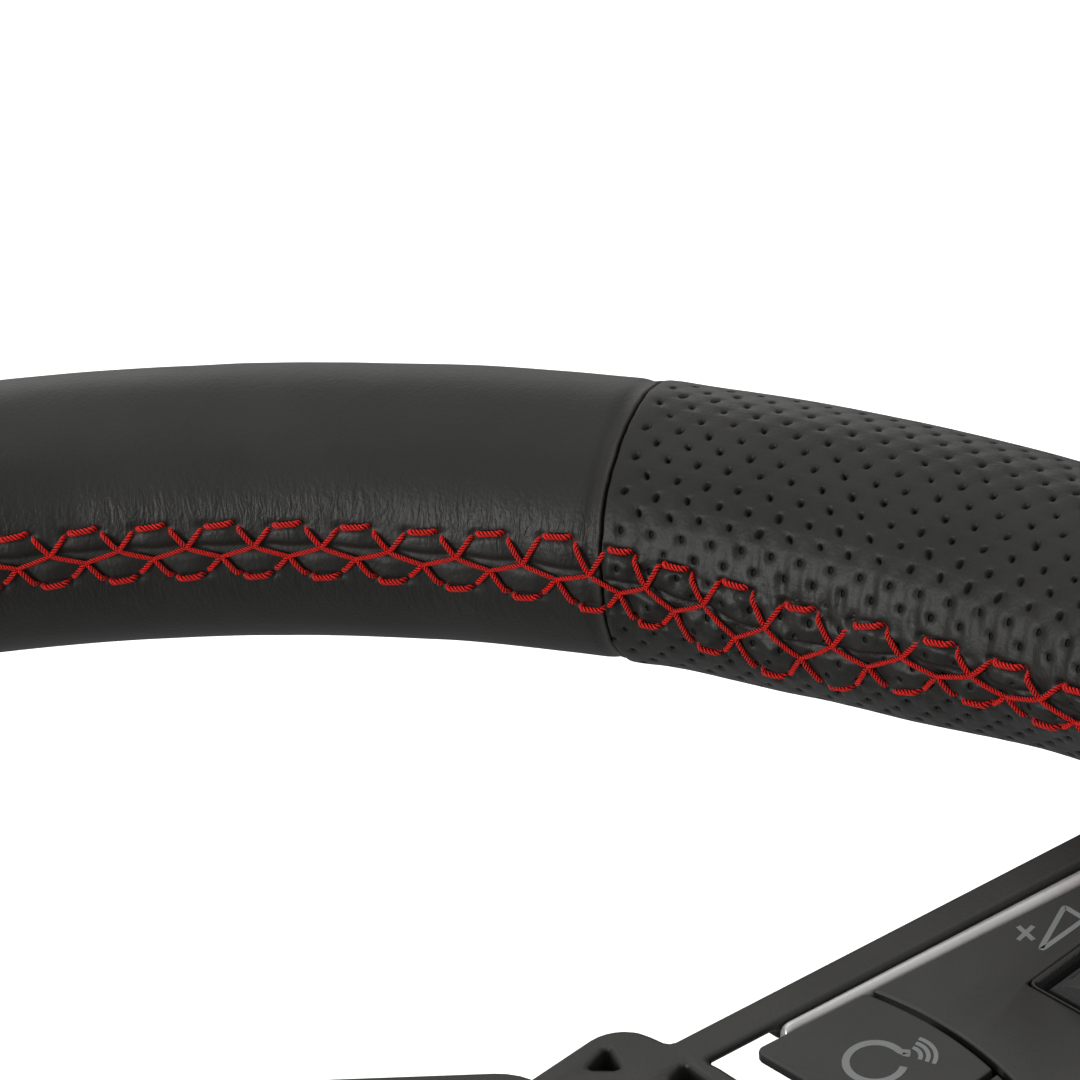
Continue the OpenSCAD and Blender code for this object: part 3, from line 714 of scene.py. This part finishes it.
# ------------------------------------------------------------------ foam under the leather
def foam():
    """A ring of foam with a bore for the steel ring inside it."""
    c = np.arange(0, 360, 3.0)
    phi = np.arange(0, 360, 15.0)
    cc, pp = np.meshgrid(c, phi, indexing="ij")
    outer = rim_point(cc, pp, 11.3 + 0.15 * noise(cc / 4, pp / 30, 21)).reshape(-1, 3)
    inner = rim_point(cc, pp, 5.0 + 0 * cc).reshape(-1, 3)
    n = len(c) * len(phi)
    ids = np.arange(n).reshape(len(c), len(phi))
    wrap = np.concatenate([ids, ids[:1]])
    faces = grid_faces(wrap, True) + grid_faces((wrap + n)[:, ::-1], True)
    make("rim_foam_core", np.concatenate([outer, inner]), [f[::-1] for f in faces], FOAM, "wheel",
         ["rim_foam"], nested=True)


foam()

# ------------------------------------------------------------------ stitching
STRAND_R, STRAND_OFF = 0.195, 0.235     # a strand's radius and its distance from the thread's middle
TWIST, STEP = 1.5, 0.165        # mm for one turn of the twist, and from one ring of points to the next


class Thread:
    """Twisted threads gathered into one mesh."""

    def __init__(self):
        self.verts, self.faces, self.values, self.count = [], [], [], 0

    def lay(self, points, out, scale, seed, sides=5):
        """One length of three-strand thread along points; out holds the surface normals there."""
        points, out = np.asarray(points), np.asarray(out)
        seg = np.linalg.norm(np.diff(points, axis=0), axis=1)
        dist = np.concatenate([[0], np.cumsum(seg)])
        n = max(4, round(dist[-1] / STEP))
        at = np.linspace(0, dist[-1], n)
        pts = np.stack([np.interp(at, dist, points[:, k]) for k in range(3)], -1)
        up = np.stack([np.interp(at, dist, out[:, k]) for k in range(3)], -1)
        tangent = np.gradient(pts, axis=0)
        tangent /= np.linalg.norm(tangent, axis=1)[:, None]
        side = np.cross(tangent, up)
        side /= np.linalg.norm(side, axis=1)[:, None]
        up = np.cross(side, tangent)
        end = np.minimum(at, dist[-1] - at)
        thin = 0.75 + 0.25 * smoothstep(0, 0.8, end)
        for s in range(3):
            a = 2 * math.pi * (at / (TWIST * scale) + s / 3 + seed)
            radial = up * np.cos(a)[:, None] + side * np.sin(a)[:, None]
            centre = pts + radial * (STRAND_OFF * scale * thin)[:, None]
            b = 2 * math.pi * np.arange(sides) / sides
            turn = up[:, None, :] * np.cos(b)[None, :, None] + side[:, None, :] * np.sin(b)[None, :, None]
            ring = centre[:, None, :] + turn * (STRAND_R * scale * thin)[:, None, None]
            ids = self.count + np.arange(n * sides).reshape(n, sides)
            self.faces += grid_faces(ids, True)
            self.faces += [ids[0, ::-1].tolist(), ids[-1].tolist()]
            self.verts.append(ring.reshape(-1, 3))
            # 1 where a point faces out of the thread, -1 in the groove: the mask for the painted shade in the twist
            crown = np.cos(a[:, None] - b[None, :]).ravel()
            self.values.append(np.stack([np.repeat(at, sides), np.tile(b, n), crown], -1))
            self.count += n * sides

    def piece(self, name, material, slot, stands_for):
        faces = [f[::-1] for f in self.faces]
        return make(name, np.concatenate(self.verts), faces, material, "wheel", stands_for,
                    values={"strand": np.concatenate(self.values)})


def on_rim(nominal, front, height):
    """Points at stitch places: nominal clock angle, mm in front of the stitch line, mm above the leather."""
    c = nominal + toward_seam(nominal)
    phi = stitch_phi(c) - front / PHI_MM
    r = GRIP_R + section_swell(c, phi, False) + height
    p = rim_point(c, phi, r)
    out = rim_point(c, phi, r + 1) - p
    return p, out


def stretch(bundle, c0, f0, c1, f1, dips, scale, seed, arch=0.0, level=0.30):
    """Thread from one stitch place to another. dips says how deep each end goes."""
    t = np.linspace(0, 1, 15)
    length = math.hypot((c1 - c0) * DEG_MM, f1 - f0)
    d0, d1 = t * length, (1 - t) * length
    height = level + arch * np.sin(math.pi * t)
    height = height - dips[0] * (1 - smoothstep(0, 0.75, d0)) - dips[1] * (1 - smoothstep(0, 0.75, d1))
    p, out = on_rim(c0 + (c1 - c0) * t, f0 + (f1 - f0) * t, height)
    bundle.lay(p, out, scale, seed)


def quarter_of(c):
    """The part of the rim that clock angle c is in."""
    if abs(c - 90) < 46:
        return "right"
    if abs(c - 270) < 46:
        return "left"
    return "bottom" if 90 < c < 270 else "top"


def stitching():
    """Cross stitches: a bar on each side, legs from it to the crossings, and a zigzag between the crossings."""
    rng = np.random.default_rng(11)
    quarters = {"top": Thread(), "right": Thread(), "bottom": Thread(), "left": Thread()}
    half_bar = BAR / 2 / DEG_MM
    for k in range(STITCHES):
        c = (FIRST + k * PITCH) % 360
        for side, mid in ((1, c), (-1, (c + PITCH / 2) % 360)):
            bundle = quarters[quarter_of(mid)]
            j = rng.normal(0, 0.12, 8)
            h = float(bar_height(mid, side))
            tilt = 0.2 + 0.05 * j[0]
            a = mid - half_bar * (1 + 0.06 * j[1])
            b = mid + half_bar * (1 + 0.06 * j[2])
            fa, fb = side * h - tilt + 0.1 * j[3], side * h + tilt + 0.1 * j[4]
            seed = rng.uniform()
            stretch(bundle, a - 0.04, fa, b + 0.04, fb, (1.1, 1.1), 0.88, seed, 0.10, 0.30)
            left, right = mid - PITCH / 2, mid + PITCH / 2
            xl, xr = side * crossing_height(left), side * crossing_height(right)
            # legs from the bar's holes down to the crossings beside it
            ya, yb = fa - (0.15 + 0.1 * j[5]) * side, fb - (0.42 + 0.1 * j[6]) * side
            stretch(bundle, a - (0.28 + 0.1 * j[7]) / DEG_MM, ya, left, xl, (1.0, 0.12), 0.76, seed + .3, 0.05)
            stretch(bundle, b + 0.34 / DEG_MM, yb, right, xr, (1.0, 0.12), 0.76, seed + .6, 0.05)
            # half of the zigzag: from this side's crossing to the other side's
            onward = right + PITCH / 2
            yo = -side * crossing_height(onward)
            stretch(bundle, right, xr, onward, yo, (0.05, 0.05), 0.68, seed + .8, 0.10, 0.34)
    for name, bundle in quarters.items():
        bundle.piece("stitching_" + name, RED, "red_thread", ["rim_stitching"])


stitching()


def seam_threads():
    """Dark lock stitches that join the smooth leather to each grip."""
    rng = np.random.default_rng(5)
    t = np.linspace(0, 1, 9)
    bow = np.sin(t * math.pi)
    seams = {"upper_right": 90 - SEAM, "upper_left": 270 + SEAM, "lower_right": 90 + SEAM, "lower_left": 270 - SEAM}
    for name, mid in seams.items():
        bundle = Thread()
        inward = 1 if name.endswith("right") == name.startswith("upper") else -1
        phi = stitch_phi(mid) + 20
        while phi < stitch_phi(mid) + 340:
            run = rng.uniform(1.5, 2.6) / PHI_MM
            at = phi + run * 0.62 * t
            c = mid + inward * (0.05 + 0.10 * bow)
            r = GRIP_R + section_swell(c, at, False) - 0.12 - 0.75 * (1 - bow ** 0.5)
            p = rim_point(c, at, r)
            bundle.lay(p, rim_point(c, at, r + 1) - p, 0.55, rng.uniform())
            phi += run
        bundle.piece("seam_thread_" + name, BLACK_THREAD, None, ())


seam_threads()


# ------------------------------------------------------------------ CAD shapes with finished edges
slot_of = {s["node"]: s["material_slot"] for s in frame["record"]["subparts"]}
# nodes that a piece made here stands for
REMADE = {"leather_top", "leather_bottom", "leather_grip_right", "leather_grip_left", "rim_foam", "rim_stitching",
          "spoke_trim_right", "spoke_trim_left"}
# mm of rounding; the other nodes take 0.25
ROUNDING = {"front_frame": 0.6, "panel_right": 0.3, "panel_left": 0.3, "back_cover": 0.8, "spider": 1.0,
            "base_hub": 0.5, "release_hub": 0.5, "release_collar": 0.5, "horn_ring": 0.2, "horn_button": 0.3,
            "lower_spoke_cover": 0.8, "spoke_cover_right": 0.6, "spoke_cover_left": 0.6, "hub_screws": 0.3,
            "frame_screws": 0.3, "horn_spring": 0, "collar_spring": 0, "rim_core": 0, "contact_pins": 0.15,
            "lock_ring": 0, "horn_cup": 0.4}
# nodes whose rounding would be lost if their shortest edge limited it
OPEN_BEVEL = {"front_frame", "panel_right", "panel_left", "upper_key_right", "upper_key_left"}
SHARP = math.radians(28)


def refine(name, width):
    """The CAD node's shape with its facets merged and its sharp edges rounded."""
    node = nodes[name]
    mesh = bpy.data.meshes.new(name + "_finished")
    bm = bmesh.new()
    bm.from_mesh(node.data)
    bmesh.ops.remove_doubles(bm, verts=bm.verts, dist=2e-6)
    bmesh.ops.dissolve_limit(bm, angle_limit=math.radians(1.5), verts=bm.verts, edges=bm.edges)
    bm.to_mesh(mesh)
    bm.free()
    piece = bpy.data.objects.new(name + "_finished", mesh)
    bpy.context.scene.collection.objects.link(piece)
    slot = slot_of[name]
    mesh.materials.clear()
    mesh.materials.append(LOOKS[slot])
    mesh.polygons.foreach_set("use_smooth", [True] * len(mesh.polygons))
    if width:
        bevel = piece.modifiers.new("edge", "BEVEL")
        bevel.width, bevel.segments = width * MM, 2
        bevel.limit_method, bevel.angle_limit = "ANGLE", SHARP
        bevel.use_clamp_overlap = name not in OPEN_BEVEL
        bevel.miter_outer = "MITER_ARC"
        bevel.harden_normals = True
    mesh.set_sharp_from_angle(angle=SHARP)
    return declare(piece, node["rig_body"], [name])


finished = {n: refine(n, ROUNDING.get(n, 0.25)) for n in sorted(nodes) if n not in REMADE}
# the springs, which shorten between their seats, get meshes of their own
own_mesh(finished["collar_spring"])
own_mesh(finished["horn_spring"])


# ------------------------------------------------------------------ printed marks
PANEL_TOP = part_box("panel_right")[1].z / MM


def ribbon(points, width, z, closed=False):
    """A thin inlaid stroke along points in plan, with a flat top just proud of z."""
    p = np.asarray(points, float)
    if closed:
        tangent = np.roll(p, -1, 0) - np.roll(p, 1, 0)
    else:
        tangent = np.gradient(p, axis=0)
    tangent /= np.linalg.norm(tangent, axis=1)[:, None]
    side = np.stack([-tangent[:, 1], tangent[:, 0]], -1) * width / 2
    low, high = z - 0.2, z + 0.025
    rows = [np.column_stack([q, np.full(len(p), h)]) for q, h in
            ((p - side, low), (p + side, low), (p + side, high), (p - side, high))]
    verts = np.stack(rows, 1).reshape(-1, 3)
    ids = np.arange(len(verts)).reshape(len(p), 4)
    if closed:
        return verts, grid_faces(np.concatenate([ids, ids[:1]]), True)
    return verts, grid_faces(ids, True) + [ids[0, ::-1].tolist(), ids[-1].tolist()]


def arc(x, y, r, start, end, n=40):
    a = np.radians(np.linspace(start, end, n))
    return np.column_stack([x + r * np.cos(a), y + r * np.sin(a)])


def line(a, b, n=6):
    return np.linspace(a, b, n)


def mark(name, strokes, body, mirrored):
    """Strokes as (points, width, closed). Each stands a hair above the last, so crossing strokes don't flicker."""
    verts, faces, count = [], [], 0
    for k, (points, width, closed) in enumerate(strokes):
        v, f = ribbon(points, width, PANEL_TOP + 0.004 * k, closed)
        faces += [[i + count for i in face] for face in f]
        verts.append(v)
        count += len(v)
    verts, faces = flipped(np.concatenate(verts), faces, mirrored)
    make(name, verts, faces, PRINT, body, smooth=False)


def rounded(points, r, n=6):
    """A closed outline with its corners rounded."""
    out = []
    for k, p in enumerate(points):
        p, a, b = (np.array(q, float) for q in (p, points[k - 1], points[(k + 1) % len(points)]))
        u, v = (a - p) / np.linalg.norm(a - p), (b - p) / np.linalg.norm(b - p)
        cut = r / math.tan(math.acos(np.clip(u @ v, -1, 1)) / 2)
        for t in np.linspace(0, 1, n):
            out.append((1 - t) ** 2 * (p + u * cut) + 2 * t * (1 - t) * p + t * t * (p + v * cut))
    return np.array(out)


for side_name, flip in (("right", False), ("left", True)):
    head = np.concatenate([arc(110.3, 0.3, 2.7, -62, -372, 60), line((112.75, -0.4), (113.35, -0.95), 4)[1:],
                           line((113.35, -0.95), (112.75, -1.25), 4)[1:]])
    voice = [(head, 0.72, False)]
    voice += [(arc(112.9, -1.3, r, -72, 18, 20), 0.42, False) for r in (1.25, 1.95, 2.65)]
    mark("mark_voice_" + side_name, voice, "upper_key_" + side_name, flip)
    chevron = np.concatenate([line((112.4, -13.4), (109.6, -15.3), 8), line((109.6, -15.3), (112.2, -17.4), 8)[1:]])
    mark("mark_back_" + side_name, [(chevron, 0.6, False)], "lower_key_" + side_name, flip)
    level = [(line((132.5, 2.15), (135.1, 2.45)), 0.5, False), (line((133.5, 1.05), (134.1, 3.5)), 0.5, False),
             (rounded([(132.4, -0.5), (139.2, -0.55), (139.4, 2.15)], 0.22), 0.55, True),
             (line((132.6, -19.9), (135.2, -19.7)), 0.5, False),
             (rounded([(137.2, -20.6), (141.6, -20.4), (141.6, -19.0)], 0.15), 0.45, True)]
    mark("mark_level_" + side_name, level, "wheel", flip)


# ------------------------------------------------------------------ trim strips and roller bezels
def half_round(low, high, z0, z1):
    """A half-round strip between two straight lines in plan, with a slanting inner end."""
    run = np.concatenate([[0, .05, .18, .4, .8, 1.3], np.linspace(2.5, TRIM_X[1] - TRIM_X[0], 20)])
    u = np.linspace(0, 1, 15)
    rr, uu = np.meshgrid(run, u, indexing="ij")
    x = TRIM_X[0] + rr - 0.5 * (1 - uu) * smoothstep(3, 0, rr)
    y = (low[0] + low[1] * (x - 100)) * (1 - uu) + (high[0] + high[1] * (x - 100)) * uu
    sides = 1 - np.sqrt(1 - (0.985 * (2 * uu - 1)) ** 2)
    nose = 1 - np.sqrt(1 - (1 - np.clip(rr / 0.8, 0, 1)) ** 2)
    z = z1 - 1.35 * sides - 0.7 * nose
    top = np.stack([x, y, z], -1)
    bottom = top.copy()
    bottom[..., 2] = z0
    verts = np.concatenate([top.reshape(-1, 3), bottom.reshape(-1, 3)])
    ids = np.arange(rr.size).reshape(rr.shape)
    under = ids + ids.size
    faces = grid_faces(ids) + grid_faces(under[:, ::-1])
    loop = np.concatenate([ids[:, 0], ids[-1, 1:], ids[-2::-1, -1], ids[0, -2:0:-1]])
    faces += grid_faces(np.stack([loop + ids.size, loop]), True)
    return verts, faces


TRIM_X = (108.3, 150.0)
# the edges beside the strips in plan: y at x = 100, and slope
BAR_LOWER, PANEL_UPPER = (11.85, -0.148), (10.5, -0.1655)
PANEL_LOWER, SILL_UPPER = (-21.75, -0.08), (-23.35, -0.08)
for side_name, flip in (("right", False), ("left", True)):
    low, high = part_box("spoke_trim_" + side_name)
    verts, faces = [], []
    for a, b in ((PANEL_UPPER, BAR_LOWER), (SILL_UPPER, PANEL_LOWER)):
        v, f = half_round(a, b, low.z / MM, high.z / MM)
        faces += [tuple(int(i) + len(verts) * len(v) for i in face) for face in f]
        verts.append(v)
    v, f = flipped(np.concatenate(verts), faces, flip)
    make("trim_strips_" + side_name, v, f, LOOKS["silver_trim"], "wheel",
         ["spoke_trim_" + side_name])

    # a glossy collar slopes from the deck down to the roller
    outer = rounded([(128.15, -17.35), (142.25, -17.35), (142.25, -2.65), (128.15, -2.65)], 1.0)
    inner = rounded([(128.6, -16.1), (141.8, -16.1), (141.8, -3.9), (128.6, -3.9)], 0.8)
    rings = [(0, -1.8), (0, -0.15), (0.06, 0.02), (0.16, 0.1), (0.3, 0.08), (0.55, -0.2), (0.8, -0.6), (1, -1.1),
             (1, -1.8)]         # share of the way in, and mm above the panel
    verts = np.concatenate([np.column_stack([outer * (1 - t) + inner * t, np.full(len(outer), PANEL_TOP + h)])
                            for t, h in rings])
    ids = np.arange(len(verts)).reshape(len(rings), len(outer))
    v, f = flipped(verts, grid_faces(np.concatenate([ids, ids[:1]])[::-1], True), flip)
    make("roller_bezel_" + side_name, v, f, GLOSS, "wheel")


# ------------------------------------------------------------------ camera, floor and light
THETA, ROLL, ALPHA = (math.radians(a) for a in (59.06, 5.82, 39.0))    # tilt off the axis, roll, and bearing
EYE = Vector((-46.85, -152.75, 287.95)) * MM
LENS = 103.04
right0 = Vector((math.cos(ALPHA), -math.sin(ALPHA), 0))
away = Vector((math.sin(ALPHA), math.cos(ALPHA), 0))
up_z = Vector((0, 0, 1))
back = -math.sin(THETA) * away + math.cos(THETA) * up_z
up0 = math.cos(THETA) * away + math.sin(THETA) * up_z
right = math.cos(ROLL) * right0 - math.sin(ROLL) * up0
up = math.sin(ROLL) * right0 + math.cos(ROLL) * up0
camera_data = bpy.data.cameras.new("camera")
camera_data.lens, camera_data.sensor_width = LENS, 36
camera_data.clip_start, camera_data.clip_end = 0.01, 20
camera = bpy.data.objects.new("camera", camera_data)
bpy.context.scene.collection.objects.link(camera)
turned = Matrix((right, up, back)).transposed()
camera.matrix_world = Matrix.Translation(EYE) @ turned.to_4x4()
bpy.context.scene.camera = camera


def split_rays(tree, lighting, seen, out):
    """Shows one shader to the camera and lights the scene with the other."""
    path = tree.nodes.new("ShaderNodeLightPath")
    choose = tree.nodes.new("ShaderNodeMixShader")
    tree.links.new(path.outputs["Is Camera Ray"], choose.inputs[0])
    tree.links.new(lighting.outputs[0], choose.inputs[1])
    tree.links.new(seen.outputs[0], choose.inputs[2])
    tree.links.new(choose.outputs[0], out.inputs[0])


def floor():
    """A plain pale floor, white to the camera and dimmer in reflections."""
    mesh = bpy.data.meshes.new("floor")
    n, size = 41, 6.0
    xs = np.linspace(-size, size, n)
    verts = [(x, y, cad_box[0].z - 0.0005) for x in xs for y in xs]
    mesh.from_pydata(verts, [], grid_faces(np.arange(n * n).reshape(n, n)))
    piece = bpy.data.objects.new("floor", mesh)
    bpy.context.scene.collection.objects.link(piece)
    m = bpy.data.materials.new("pale_floor")
    m.use_nodes = True
    t = m.node_tree
    t.nodes.clear()
    out = t.nodes.new("ShaderNodeOutputMaterial")
    plain = t.nodes.new("ShaderNodeBsdfDiffuse")
    plain.inputs[0].default_value = (0.55, 0.55, 0.55, 1)
    glow = t.nodes.new("ShaderNodeEmission")
    glow.inputs[1].default_value = 0.98
    both = t.nodes.new("ShaderNodeAddShader")
    dim = t.nodes.new("ShaderNodeEmission")
    dim.inputs[0].default_value = (0.97, 0.985, 1.0, 1)
    dim.inputs[1].default_value = 0.36
    t.links.new(plain.outputs[0], both.inputs[0])
    t.links.new(glow.outputs[0], both.inputs[1])
    split_rays(t, dim, both, out)
    mesh.materials.append(m)


def world():
    """A studio: white to the camera, and light that grows from the floor up to the ceiling."""
    w = bpy.data.worlds.new("studio")
    bpy.context.scene.world = w
    w.use_nodes = True
    t = w.node_tree
    t.nodes.clear()
    out = t.nodes.new("ShaderNodeOutputWorld")
    lit = t.nodes.new("ShaderNodeBackground")
    seen = t.nodes.new("ShaderNodeBackground")
    seen.inputs[1].default_value = 1.1
    where = t.nodes.new("ShaderNodeTexCoord")
    apart = t.nodes.new("ShaderNodeSeparateXYZ")
    level = t.nodes.new("ShaderNodeMapRange")
    level.interpolation_type = "SMOOTHSTEP"
    for socket, value in zip(level.inputs[1:], (-0.1, 0.9, 0.31, 0.70)):
        socket.default_value = value
    t.links.new(where.outputs["Generated"], apart.inputs[0])
    t.links.new(apart.outputs[2], level.inputs[0])
    t.links.new(level.outputs[0], lit.inputs[1])
    split_rays(t, lit, seen, out)
    lit.inputs[0].default_value = (1.0, 0.99, 0.965, 1)
    seen.inputs[0].default_value = (1, 1, 1, 1)


def softbox(name, place, target, size, power):
    data = bpy.data.lights.new(name, "AREA")
    data.shape, data.size, data.size_y = "RECTANGLE", size[0], size[1]
    data.energy = power
    light = bpy.data.objects.new(name, data)
    bpy.context.scene.collection.objects.link(light)
    light.location = place
    light.rotation_euler = (Vector(target) - Vector(place)).to_track_quat("-Z", "Y").to_euler()
    light.visible_camera = False


floor()
world()
softbox("overhead", (0.1, 0.6, 1.7), (0.08, 0.1, 0.1), (1.8, 1.4), 7)
softbox("left", (-1.6, 0.12, 0.46), (0.1, 0.12, 0.1), (0.6, 0.5), 18)
softbox("behind", (0.9, 1.3, 0.45), (0.08, 0.1, 0.1), (1.4, 0.5), 3.4)

bpy.context.scene.view_settings.view_transform = "Standard"
